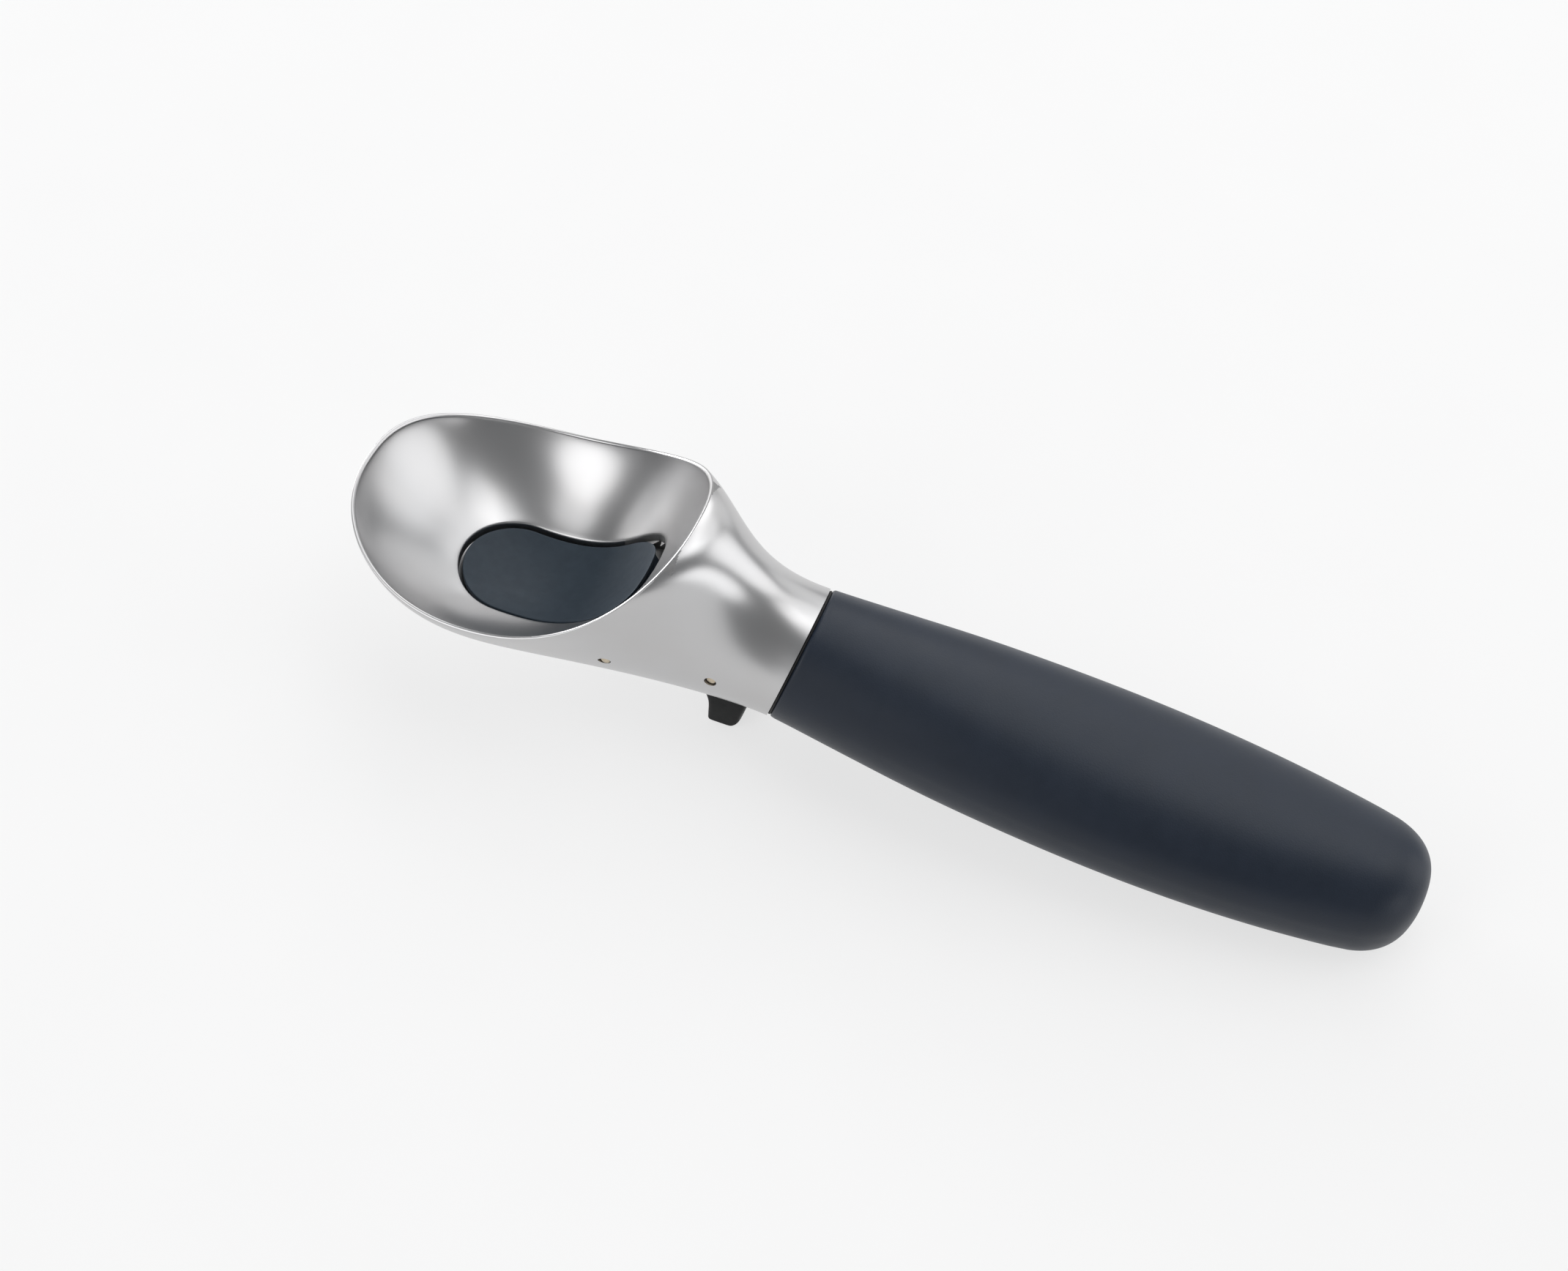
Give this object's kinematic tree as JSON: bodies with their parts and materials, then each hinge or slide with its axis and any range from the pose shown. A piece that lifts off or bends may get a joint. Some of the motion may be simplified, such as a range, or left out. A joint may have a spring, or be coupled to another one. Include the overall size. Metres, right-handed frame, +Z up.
{
  "type": "ice cream scoop",
  "caption": "Ice cream scoop with an oval pointed bowl, a flap in its floor lifted by a finger trigger under the neck, and a soft rounded handle.",
  "frame": {"origin": "on the table under the middle of the scoop's bounding box, with the scoop lying on its trigger and the underside of its handle", "axes": "+X from the bowl's front lip to the end of the handle, +Z up, +Y to the left when looking from the lip to the handle"},
  "size_m": [0.21, 0.0528, 0.05],
  "materials": {
    "satin_chrome_casting": "satin pearl chrome on a smooth casting",
    "slate_plastic": "smooth matte",
    "black_plastic": "smooth matte",
    "pin_steel": "turned ends",
    "spring_steel": "drawn wire",
    "seal_rubber": "matte",
    "core_plastic": "as moulded",
    "screw_steel": "plain",
    "grip_rubber": "soft touch with a very fine grain"
  },
  "bodies": {
    "scoop": {"scoop_head": "satin_chrome_casting", "ejector_pin": "pin_steel", "trigger_pin": "pin_steel", "neck_seal": "seal_rubber", "core_left": "core_plastic", "core_right": "core_plastic", "core_screws": "screw_steel", "handle_grip": "grip_rubber", "return_spring": "spring_steel"},
    "trigger": {"trigger": "black_plastic"},
    "ejector": {"ejector": "slate_plastic"}
  },
  "joints": [
    {"name": "trigger_pull", "type": "hinge", "parent": "scoop", "child": "trigger", "pos_m": [-0.02935, 0, 0.0221], "axis": [0, -1, 0], "range_deg": [0, 12], "stiffness_Nm_per_rad": 0.2, "springref_deg": -20.05, "deforming": ["return_spring"]},
    {"name": "ejector_lift", "type": "hinge", "parent": "scoop", "child": "ejector", "pos_m": [-0.0489, 0, 0.0233], "axis": [0, 1, 0], "range_deg": [0, 17]}
  ],
  "couplings": [
    {"joint": "ejector_lift", "follows": "trigger_pull", "ratio": 1.409}
  ]
}
